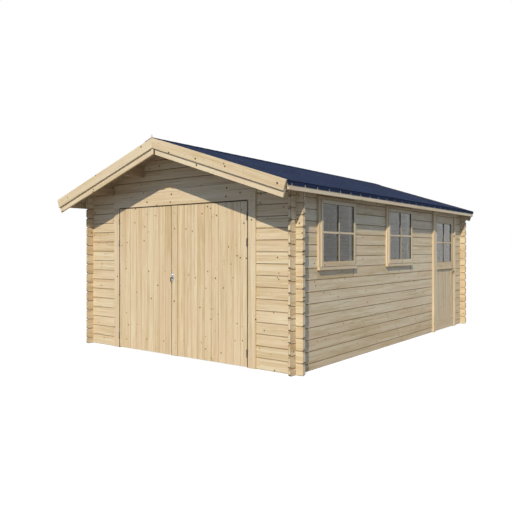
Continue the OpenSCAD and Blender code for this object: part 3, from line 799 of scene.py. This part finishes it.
def meeting_strip(lo, hi):
    """The cover board on the right leaf's edge, with a dark rubber strip as painted shade along its left
    edge and a row of screws.
    """
    kit = Kit()
    seal_shade = lo.x + STRIP_SEAL_SHADE
    kit.bar((seal_shade, lo.y, lo.z), hi, 2, ROUNDED)
    # painted shade: a dark rubber strip stands for the shadowed gap by the left leaf
    kit.bar((lo.x, lo.y + SEAL_SUNK, lo.z), (seal_shade, hi.y, hi.z), 2, SHARP, material=2)
    aside, from_end = 0.02, 0.1
    x = (lo.x + hi.x) / 2 + aside
    screws(kit, [(x, lo.y, z) for z in steps(lo.z + from_end, hi.z - from_end, 6)], (0, -1, 0))
    kit.make("meeting_board", "garage_door_right", "trim", [TRIM_WOOD, STEEL, GASKET_AND_SHADE], ["meeting_strip"])


def front_handle():
    """A bright lock plate with a rose, and a dark drop handle below it."""
    lo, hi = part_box("door_handle")
    x = (lo.x + hi.x) / 2
    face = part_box("meeting_strip")[0].y
    plate_h, plate_t = 0.1, 0.004
    rose_z, pin_z = hi.z - 0.022, hi.z - 0.058
    rose_r, keyhole_r, pin_r = 0.013, 0.003, 0.008
    kit = Kit()
    kit.bar((lo.x, face - plate_t, hi.z - plate_h), (hi.x, face, hi.z), 2, 0.0015)
    kit.rod((x, face, rose_z), (x, face - 0.02, rose_z), rose_r, 24, 0.003)
    kit.rod((x, face, rose_z), (x, face - 0.0215, rose_z), keyhole_r, 12, material=1)
    kit.rod((x, face, pin_z), (x, face - 0.034, pin_z), pin_r, 20, 0.002, material=1)
    grip = [(x, face - 0.03, hi.z - 0.056), (x, face - 0.036, hi.z - 0.06),
            (x, lo.y + 0.0075, hi.z - 0.072), (x, lo.y + 0.0065, hi.z - 0.09),
            (x, lo.y + 0.0075, lo.z + 0.012), (x, lo.y + 0.01, lo.z + 0.0008)]
    kit.sweep(grip, [0.0062, 0.0068, 0.0072, 0.0062, 0.0068, 0.0035], material=1)
    for z in (hi.z - 0.008, hi.z - 0.092):
        kit.rod((x, face - 0.003, z), (x, face - 0.0052, z), 0.0035, 12, 0.0008, material=1)
    kit.make("front_handle", "garage_door_right", "ironwork", [BRIGHT_STEEL, DARK_STEEL], ["door_handle"])


# -------- side doorway and leaf
def side_jambs():
    """Both jambs. On the hinge side, the front, the casing is housed round the knuckles."""
    kit = Kit()
    kit.bar((HALF_W, SIDE_REAR, 0), (SIDE_OUT, CASING_REAR, SIDE_TOP), 2, ROUNDED)
    side_jamb(kit, "side_jamb_rear", SIDE_REAR, 1)
    kit = Kit()
    housed = SIDE_FRONT - KNUCKLE_ROOM
    kit.bar((HALF_W, CASING_FRONT, 0), (SIDE_OUT, housed, SIDE_TOP), 2, ROUNDED)
    ends = [0] + [z + dz for z in SIDE_HINGES for dz in (-HINGE_HALF, HINGE_HALF)] + [SIDE_TOP]
    for a, b in zip(ends[::2], ends[1::2]):
        kit.bar((HALF_W, housed, a), (SIDE_OUT, SIDE_FRONT, b), 2, SHARP)
    side_jamb(kit, "side_jamb_front", SIDE_FRONT, -1)


def side_jamb(kit, node, clear, away):
    """Adds the lining, the inner trim and the stop. away is 1 or -1 along Y, into the wall."""
    face = SIDE_INNER + FACE_T
    for x0, x1, width in ((face, HALF_W, LINING_T), (SIDE_INNER, face, INNER_TRIM_W),
                          (SIDE_STOP, SIDE_STOP + STOP_D, -STOP_D)):
        a, b = sorted((clear, clear + away * width))
        kit.bar((x0, a, 0), (x1, b, SIDE_TOP), 2)
    kit.make(node + "_boards", "garage", "trim", [TRIM_WOOD], [node])


def side_header():
    """The same boards across the head of the side doorway."""
    kit = Kit()
    face, under = SIDE_INNER + FACE_T, SIDE_TOP
    kit.bar((HALF_W, CASING_FRONT, under), (SIDE_OUT, CASING_REAR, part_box("side_header")[1].z), 1, ROUNDED)
    kit.bar((face, SIDE_FRONT - LINING_T, under), (HALF_W, SIDE_REAR + LINING_T, under + LINING_T), 1)
    kit.bar((SIDE_INNER, SIDE_FRONT - INNER_TRIM_W, under),
            (face, SIDE_REAR + INNER_TRIM_W, under + INNER_TRIM_W), 1)
    kit.bar((SIDE_STOP, SIDE_FRONT, under - STOP_D), (SIDE_STOP + STOP_D, SIDE_REAR, under), 1)
    kit.make("side_header_boards", "garage", "trim", [TRIM_WOOD], ["side_header"])


def side_door():
    """A half-glazed leaf: stiles, rails, a sunk panel, glazing bars and a ledge moulding."""
    lo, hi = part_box("side_leaf")
    pane_lo, pane_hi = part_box("side_leaf_pane")
    face = hi.x - LEDGE_D
    panel_low, panel_top = lo.z + LOW_RAIL, pane_lo.z - LOCK_RAIL
    kit = Kit()
    for a, b in ((lo.y, pane_lo.y), (pane_hi.y, hi.y)):
        kit.bar((lo.x, a, lo.z), (face, b, hi.z), 2, ROUNDED)
    for a, b in ((lo.z, panel_low), (panel_top, pane_lo.z), (pane_hi.z, hi.z)):
        kit.bar((lo.x, pane_lo.y, a), (face, pane_hi.y, b), 1, ROUNDED)
    kit.bar((lo.x + PANEL_SINK, pane_lo.y, panel_low), (face - PANEL_SINK, pane_hi.y, panel_top), 2, SHARP)
    for x in (lo.x + 0.001, face - PANEL_SINK):
        ring(kit, (x, pane_lo.y, panel_low), (x + PANEL_SINK - 0.001, pane_hi.y, panel_top), BEAD, 0.0025)
    ledge = panel_top + 0.002
    kit.bar((face - 0.001, pane_lo.y - 0.02, ledge), (hi.x, pane_hi.y + 0.02, ledge + LEDGE_H), 1, 0.005)
    glazing(kit, pane_lo, pane_hi, lo.x + 0.004, face - 0.003)
    kit.make("side_leaf_frame", "side_door", "door_boards", [DOOR_WOOD, GASKET_AND_SHADE], ["side_leaf"])
    side_handle(face)


def glazing(kit, lo, hi, inner, outer):
    """Glazing bars across a pane, wooden in front and dark rubber behind as painted shade of the unlit
    inside, dark seals beside them in front that are partly painted shade of the gaps, and dark spacers
    behind.
    """
    y, z = (lo.y + hi.y) / 2, (lo.z + hi.z) / 2
    half = BAR_W / 2
    # painted shade: the bars behind the glass are dark rubber, for the unlit inside seen through the pane
    for a, b, chamfer, material in ((hi.x, outer, 0.004, 0), (inner, lo.x, 0.002, 1)):
        kit.bar((a, y - half, lo.z), (b, y + half, hi.z), 2, chamfer, material=material)
        kit.bar((a, lo.y, z - half), (b, hi.y, z + half), 1, chamfer, material=material)
    ring(kit, (inner, lo.y, lo.z), (lo.x, hi.y, hi.z), SPACER_T, 0.0004, 1)
    lip, fine = outer - 0.0015, 0.0005
    # painted shade: the dark seals round the pane and beside each bar stand for the shaded gaps there
    ring(kit, (hi.x, lo.y, lo.z), (lip, hi.y, hi.z), SEAL_SHADE_T, fine, 1)
    for a, b in ((y - half - SEAL_SHADE_T, y - half), (y + half, y + half + SEAL_SHADE_T)):
        kit.bar((hi.x, a, lo.z + SEAL_SHADE_T), (lip, b, hi.z - SEAL_SHADE_T), 2, fine, material=1)


def side_handle(face):
    """A long plate with a lever and a cylinder lock."""
    lo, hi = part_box("side_handle")
    middle_z = (lo.z + hi.z) / 2
    half_w, plate_t = 0.019, 0.004
    y = hi.y - half_w
    lever_z, lock_z = middle_z + 0.03, middle_z - 0.042
    neck_r, lock_r, keyhole_r = 0.0085, 0.011, 0.003
    kit = Kit()
    kit.bar((face, y - half_w, lo.z), (face + plate_t, hi.y, hi.z), 2, 0.0018)
    kit.rod((face, y, lever_z), (hi.x - 0.004, y, lever_z), neck_r, 20, 0.002)
    x = hi.x - 0.0075
    grip = [(x, y + 0.008, lever_z), (x, y - 0.01, lever_z), (x, y - 0.04, lever_z + 0.0015),
            (x, y - 0.075, lever_z), (x - 0.001, lo.y + 0.004, lever_z - 0.001)]
    kit.sweep(grip, [0.0065, 0.0072, 0.007, 0.0068, 0.0045])
    kit.rod((face, y, lock_z), (face + 0.012, y, lock_z), lock_r, 24, 0.002)
    kit.rod((face, y, lock_z), (face + 0.0125, y, lock_z), keyhole_r, 12, material=1)
    for z in (lo.z + 0.01, hi.z - 0.01):
        kit.rod((face + 0.003, y, z), (face + 0.0052, y, z), 0.0038, 12, 0.0008, material=1)
    kit.make("side_lever", "side_door", "ironwork", [BRASS, DARK_STEEL], ["side_handle"])


# -------- windows
def windows():
    casings, sashes = Kit(), Kit()
    for y in window_centres():
        y0, y1 = y - WINDOW_W / 2, y + WINDOW_W / 2
        window_casing(casings, y0, y1)
        window_sash(sashes, y0 + WINDOW_EDGE, y1 - WINDOW_EDGE)
    casings.make("window_casing_boards", "garage", "trim", [TRIM_WOOD], ["window_casings"])
    sashes.make("window_sash_frames", "garage", "trim", [TRIM_WOOD, GASKET_AND_SHADE], ["window_sashes"])


def window_casing(kit, y0, y1):
    """The outer casing on its sill, the lining in the wall and the inner trim."""
    lo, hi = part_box("window_casings")
    edge, inset = WINDOW_EDGE, WINDOW_LINING_T
    low, top, sill = lo.z, hi.z, lo.z + SILL_H
    out, inner, face = HALF_W + CASING_T, lo.x, lo.x + FACE_T
    kit.bar((HALF_W, y0, top - edge), (out, y1, top), 1, ROUNDED)
    for a, b in ((y0, y0 + edge), (y1 - edge, y1)):
        kit.bar((HALF_W, a, sill), (out, b, top - edge), 2, ROUNDED)
    kit.bar((HALF_W, y0, low), (HALF_W + SILL_OUT, y1, sill), 1, (0.006, 0.002, 0.004))
    ring(kit, (face, y0 + inset, low + inset), (HALF_W, y1 - inset, top - inset), edge - inset)
    ring(kit, (inner, y0, low), (face, y1, top), edge)


def window_sash(kit, y0, y1):
    """Two stiles and two rails, with the glazing bars and seals between them."""
    lo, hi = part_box("window_sashes")
    pane_lo, pane_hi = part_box("window_panes")
    for a, b in ((y0, y0 + SASH_W), (y1 - SASH_W, y1)):
        kit.bar((lo.x, a, lo.z), (hi.x, b, hi.z), 2, ROUNDED)
    for a, b in ((lo.z, lo.z + SASH_LOW_H), (hi.z - SASH_W, hi.z)):
        kit.bar((lo.x, y0 + SASH_W, a), (hi.x, y1 - SASH_W, b), 1, ROUNDED)
    corner_lo = Vector((pane_lo.x, y0 + SASH_W, pane_lo.z))
    corner_hi = Vector((pane_hi.x, y1 - SASH_W, pane_hi.z))
    glazing(kit, corner_lo, corner_hi, lo.x + 0.004, hi.x - 0.003)


# -------- roof timbers
def roof_boards():
    """Boards from ridge to eave, with a V joint between them that shows from below."""
    length = ROOF_HI.x / math.cos(PITCH)
    thick = (ROOF_HI.z - BOARD_Z) * math.cos(PITCH)
    count = round((ROOF_HI.y - ROOF_LO.y) / ROOF_BOARD_W)
    width = (ROOF_HI.y - ROOF_LO.y) / count
    spare = 0.01
    for word, side in SIDES:
        kit = Kit()
        cuts = [ridge_cut(side), eave_cut(side, ROOF_HI.x)]
        for i in range(count):
            kit.bar((-spare, 0, 0), (length + spare, width, thick), 0, (0.001, 0.003, 0.003), cuts,
                    slope_matrix(ROOF_LO.y + i * width, BOARD_Z), side < 0)
        kit.make("roof_planks_" + word, "garage", "roof_timber", [ROOF_WOOD], ["roof_boards_" + word])


def purlins():
    """Beams along the roof, cut to the slope on top."""
    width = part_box("ridge_purlin")[1].x * 2
    for name, node in (("ridge_beam", "ridge_purlin"), ("left_beams", "purlins_left"),
                       ("right_beams", "purlins_right")):
        lo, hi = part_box(node)
        kit = Kit()
        for x in [lo.x] if node == "ridge_purlin" else [lo.x, hi.x - width]:
            low = BOARD_Z - abs(x + width / 2) * SLOPE - PURLIN_D
            kit.bar((x, lo.y, low), (x + width, hi.y, low + 2 * PURLIN_D), 1, 0.004, roof_cuts())
        kit.make(name, "garage", "roof_timber", [ROOF_WOOD], [node])


def verge_boards():
    """Two lapped boards on each slope, mitred at the ridge and cut square at the eave."""
    lapped = VERGE_W - VERGE_LAP
    for end, out in (("front", -1), ("rear", 1)):
        verge_board("verge_" + end + "_upper", out, 0, VERGE_W)
        verge_board("verge_" + end + "_lower", out, lapped, lapped + VERGE_LOW_W)


def verge_board(node, out, near, far):
    """One pair of verge boards. near and far are their edges, square down from the roof."""
    lo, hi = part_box(node)
    length = ROOF_HALF_W / math.cos(PITCH)
    kit = Kit()
    for side in (1, -1):
        slit = JOINT_SLIT if node == "verge_front_lower" and side > 0 else 0
        kit.bar((-0.1, 0, -far), (length, hi.y - lo.y, -near), 0, 0.0025,
                [ridge_cut(side, side * MITRE_GAP + slit)], slope_matrix(lo.y, RIDGE_Z), side < 0)
    face = lo.y if out < 0 else hi.y
    centre = RIDGE_Z - (near + far) / 2 / math.cos(PITCH)
    from_end, aside = 0.12, 0.022
    screws(kit, [(side * x, face, centre - x * SLOPE + dz) for side in (-1, 1)
                 for x in steps(from_end, ROOF_HALF_W - from_end, 5) for dz in (-aside, aside)], (0, out, 0))
    kit.make(node.replace("verge", "barge"), "garage", "trim", [TRIM_WOOD, STEEL], [node])


def joint_strip():
    """The strip where the lower verge boards meet, and a dark filler in the slit beside it, which blocks the
    sun and is painted shade for the slit.
    """
    lo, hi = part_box("verge_joint_strip")
    kit = Kit()
    kit.bar(lo, hi, 2)
    # painted shade: a dark rubber filler behind the slit stands for the shade in it
    kit.bar((hi.x, (lo.y + hi.y) / 2, lo.z), (JOINT_SLIT + 0.004, hi.y + 0.02, hi.z), 2, SHARP, material=1)
    kit.make("joint_strip", "garage", "trim", [TRIM_WOOD, GASKET_AND_SHADE], ["verge_joint_strip"])


def eave_boards():
    lo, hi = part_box("eave_boards")
    thick = hi.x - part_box("roof_boards_right")[1].x
    kit = Kit()
    for twin in (False, True):
        kit.bar((hi.x - thick, lo.y, lo.z), (hi.x, hi.y, hi.z), 1, 0.0025, mirror=twin)
    kit.make("eave_planks", "garage", "roof_timber", [TRIM_WOOD], ["eave_boards"])


# -------- roof covering
def covering():
    """Shingle courses with slits between the tabs, turned down over the eave boards."""
    for word, side in SIDES:
        kit = Kit()
        shingle_courses(kit, side)
        eave_drop(kit, side < 0)
        kit.make("shingles_" + word, "garage", "roofing", [SHINGLE], ["roof_cover_" + word])


def shingle_courses(kit, side):
    """A base sheet and the courses on it, from the eave up, each lapping the one below."""
    y0, y1 = COVER_LO.y, COVER_HI.y
    ends = [ridge_cut(side), eave_cut(side, COVER_HI.x)]
    spare, fine = 0.02, 0.0008
    kit.bar((-spare, 0, 0), (COVER_LENGTH + spare, y1 - y0, COVER_T * 0.45), 0, 0.0006, ends,
            slope_matrix(y0, COVER_Z), side < 0)
    tilt = Matrix.Rotation(TAB_TILT, 4, "Y")
    for row in range(int(COVER_LENGTH / TAB_EXPOSED) + 1):
        far = COVER_LENGTH - row * TAB_EXPOSED
        near = max(far - TAB_EXPOSED - TAB_LAP, -spare)
        at = slope_matrix(0, COVER_Z) @ Matrix.Translation((near, 0, COVER_T * 0.3)) @ tilt
        cuts = ends if row == 0 or near <= 0 else ()
        for a, b in tab_edges(y0, y1, row % 2):
            kit.bar((0, a, 0), (far - near, b, COVER_T * 0.36), 1, fine, cuts, at, side < 0)


def eave_drop(kit, twin):
    """The part turned down over the eave board, with slits in its lower edge."""
    y0, y1 = COVER_LO.y, COVER_HI.y
    tooth = COVER_LO.z + TOOTH_H
    top = COVER_Z - ROOF_HALF_W * SLOPE + 0.006
    kit.bar((ROOF_HALF_W, y0, tooth), (COVER_HI.x, y1, top), 1, (0.0015, 0.0005, 0.0003), mirror=twin)
    for a, b in tab_edges(y0, y1, 0, DROP_SLIT):
        kit.bar((ROOF_HALF_W, a, COVER_LO.z), (COVER_HI.x, b, tooth), 1, (0.001, 0.002, 0.0008), mirror=twin)


def tab_edges(y0, y1, staggered, slit=SLIT):
    """The ends of each tab along the roof, with a slit between neighbours."""
    first_slit = 0.3 * TAB_W + (TAB_W / 2 if staggered else 0)
    places = [y0]
    y = y0 + first_slit
    while y < y1:
        places.append(y)
        y += TAB_W
    places.append(y1)
    return [(a + slit / 2 if a > y0 else a, b - slit / 2 if b < y1 else b)
            for a, b in zip(places, places[1:])]


def ridge_cap():
    """Cap pieces with two slopes each, lapping one another, on a thin sheet."""
    lo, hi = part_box("ridge_cap")
    thick = CAP_T * math.cos(PITCH)
    width = CAP_W / math.cos(PITCH)
    shown = (hi.y - lo.y) / CAP_PIECES
    tilt = Matrix.Rotation(CAP_TILT, 4, "X")
    kit = Kit()
    for i in range(CAP_PIECES):
        length = shown * CAP_LAP if i < CAP_PIECES - 1 else shown
        for side in (1, -1):
            sheet = slope_matrix(lo.y + i * shown, CAP_LOW)
            lifted = sheet @ Matrix.Translation((0, 0, thick * 0.38)) @ tilt
            cuts = [ridge_cut(side)]
            kit.bar((-0.02, 0, 0), (width, length, thick * 0.6), 1, 0.0008, cuts, lifted, side < 0)
            kit.bar((-0.02, 0, 0), (width, shown, thick * 0.5), 1, 0.0003, cuts, sheet, side < 0)
    kit.make("ridge_cap_pieces", "garage", "roofing", [SHINGLE], ["ridge_cap"])


def ridge_tip():
    """The pointed end on the front verge."""
    lo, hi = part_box("ridge_cap")
    steep = math.atan2(hi.z - CAP_LOW, TIP_HALF)
    point = Vector((0, 0, hi.z))
    cuts = [(point, Vector((side * math.sin(steep), 0, math.cos(steep)))) for side in (1, -1)]
    kit = Kit()
    kit.bar((-TIP_HALF, lo.y, CAP_LOW - TIP_HALF * SLOPE), (TIP_HALF, lo.y + TIP_T, hi.z), 2, SHARP, cuts)
    kit.make("ridge_tip", "garage", "trim", [TRIM_WOOD], ["ridge_cap"])


# -------- carried-over nodes
def carry_over(node, material, bevel=0.0):
    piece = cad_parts[node]
    if not piece.data.materials:
        piece.data.materials.append(material)
    for s in piece.material_slots:
        s.material = material
    if bevel:
        edge = piece.modifiers.new("worn_edge", "BEVEL")
        edge.width = bevel
        edge.segments = 2
        edge.limit_method = "ANGLE"


def carried():
    for node in ("window_panes", "side_leaf_pane"):
        carry_over(node, GLASS)
    for node in ("left_jamb_hinges", "right_jamb_hinges", "side_jamb_hinges",
                 "left_leaf_hinges", "right_leaf_hinges", "side_leaf_hinges"):
        carry_over(node, STEEL, 0.0004)


# -------- light, floor and camera
def background_rays(tree):
    """1 for the rays that show the background: straight, mirrored or through glass."""
    path = tree.nodes.new("ShaderNodeLightPath")
    seen = path.outputs["Is Camera Ray"]
    for kind in ("Is Glossy Ray", "Is Transmission Ray"):
        either = tree.nodes.new("ShaderNodeMath")
        either.operation = "MAXIMUM"
        tree.links.new(seen, either.inputs[0])
        tree.links.new(path.outputs[kind], either.inputs[1])
        seen = either.outputs[0]
    return seen


def floor():
    """A wide pale floor that the camera sees as white, apart from the object's shadow."""
    corners = [(x * FLOOR_HALF, y * FLOOR_HALF, 0) for x, y in ((-1, -1), (1, -1), (1, 1), (-1, 1))]
    mesh = bpy.data.meshes.new("floor")
    mesh.from_pydata(corners, [], [[0, 1, 2, 3]])
    plane = link("floor", mesh)
    plane.location.z = -0.0005
    m = Nodes("pale_floor")
    m.set(Base_Color=FLOOR_GREY, Roughness=0.9, Specular_IOR_Level=0.1)
    strength = m.times(background_rays(m.tree), FLOOR_GLOW)
    glow = m.node("Emission", Color=WHITE, Strength=strength)
    both = m.node("AddShader")
    m.tree.links.new(m.shader.outputs[0], both.inputs[0])
    m.tree.links.new(glow.outputs[0], both.inputs[1])
    m.tree.links.new(both.outputs[0], m.tree.nodes["Material Output"].inputs["Surface"])
    mesh.materials.append(m.material)


def sky():
    """Soft blue-grey light all round, seen by the camera and in reflections as white."""
    world = bpy.data.worlds.new("sky")
    bpy.context.scene.world = world
    world.use_nodes = True
    tree = world.node_tree
    light = tree.nodes["Background"]
    white = tree.nodes.new("ShaderNodeBackground")
    for background, tone, strength in ((light, SKY_COLOUR, SKY_STRENGTH), (white, WHITE, 1.0)):
        background.inputs[0].default_value = tone
        background.inputs[1].default_value = strength
    mix = tree.nodes.new("ShaderNodeMixShader")
    tree.links.new(background_rays(tree), mix.inputs[0])
    tree.links.new(light.outputs[0], mix.inputs[1])
    tree.links.new(white.outputs[0], mix.inputs[2])
    tree.links.new(mix.outputs[0], tree.nodes["World Output"].inputs["Surface"])


def sun():
    lamp = bpy.data.lights.new("sun", "SUN")
    lamp.energy = SUN_ENERGY
    lamp.color = SUN_COLOUR
    lamp.angle = SUN_ANGLE
    link("sun", lamp).rotation_euler = Vector(SUN_TRAVEL).to_track_quat("-Z", "Y").to_euler()


def camera():
    """The photo's camera, level and at the height of a person's chest."""
    data = bpy.data.cameras.new("camera")
    view = link("camera", data)
    view.location = CAMERA_PLACE
    view.rotation_euler = (math.radians(90), 0, CAMERA_TURN)
    data.sensor_width = SENSOR_W
    data.lens = LENS
    data.shift_y = LENS_SHIFT
    data.clip_end = 200
    bpy.context.scene.camera = view


bpy.context.scene.view_settings.view_transform = "Standard"
camera()
sun()
sky()
floor()
walls()
front_jambs()
front_header()
front_doors()
side_jambs()
side_header()
side_door()
windows()
roof_boards()
purlins()
verge_boards()
joint_strip()
eave_boards()
covering()
ridge_cap()
ridge_tip()
carried()
